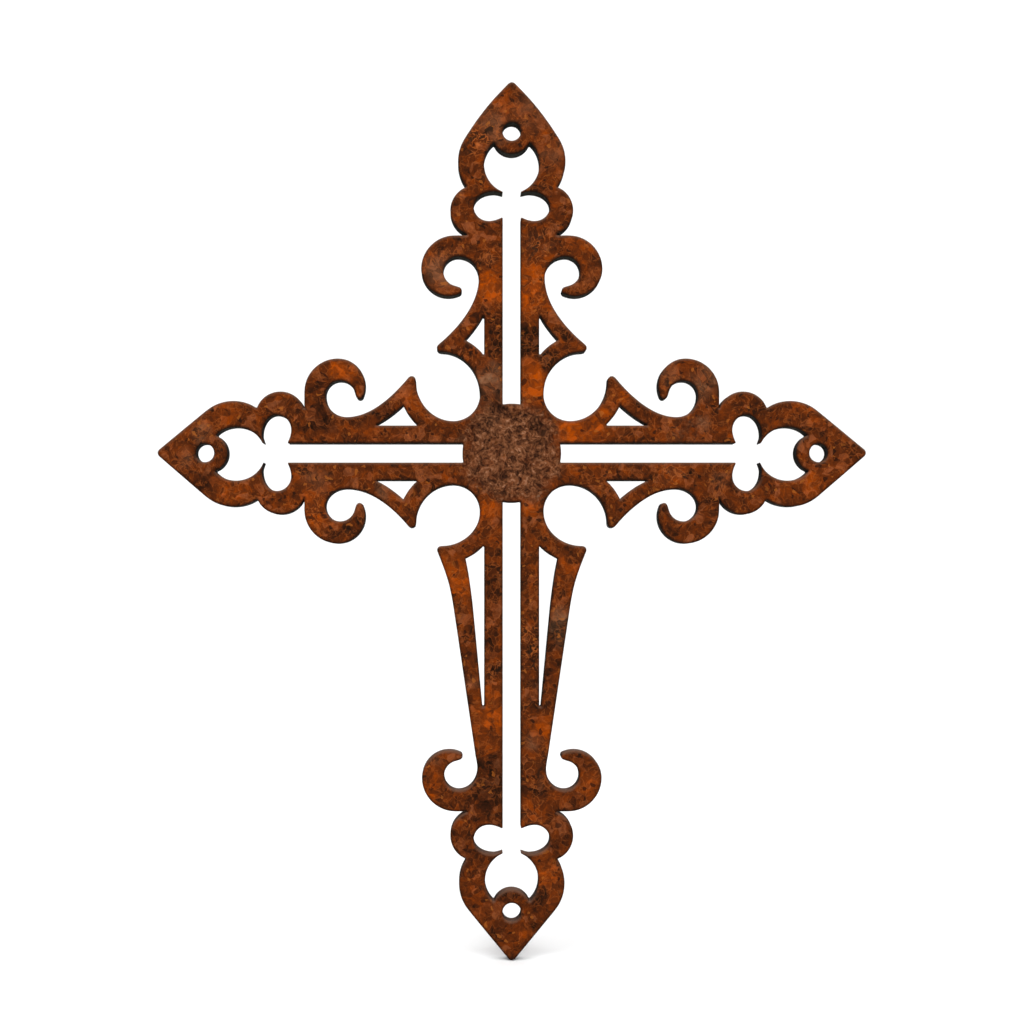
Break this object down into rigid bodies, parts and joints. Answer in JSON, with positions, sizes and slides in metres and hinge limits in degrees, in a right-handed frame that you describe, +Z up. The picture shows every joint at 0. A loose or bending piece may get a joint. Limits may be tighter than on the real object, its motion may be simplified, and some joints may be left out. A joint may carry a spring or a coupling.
{
  "type": "metal wall cross",
  "caption": "Flat pierced wall cross cut from rusted steel plate, with slotted arms, scrolled shoulders, trefoil openings and pointed finials that carry screw holes.",
  "frame": {"origin": "on the flat back face, at the centre of the disc where the arms cross; the point that meets the wall", "axes": "+Z up along the long foot and the top arm, +X to the viewer's right along the side arms, +Y into the wall; the front faces -Y"},
  "size_m": [0.1844, 0.0048, 0.2286],
  "materials": {
    "rusted_steel": "steel plate under an even coat of brown and orange rust, matt, with a coarse crust on the central disc"
  },
  "bodies": {
    "root": {"cross_plate": "rusted_steel"}
  },
  "joints": []
}
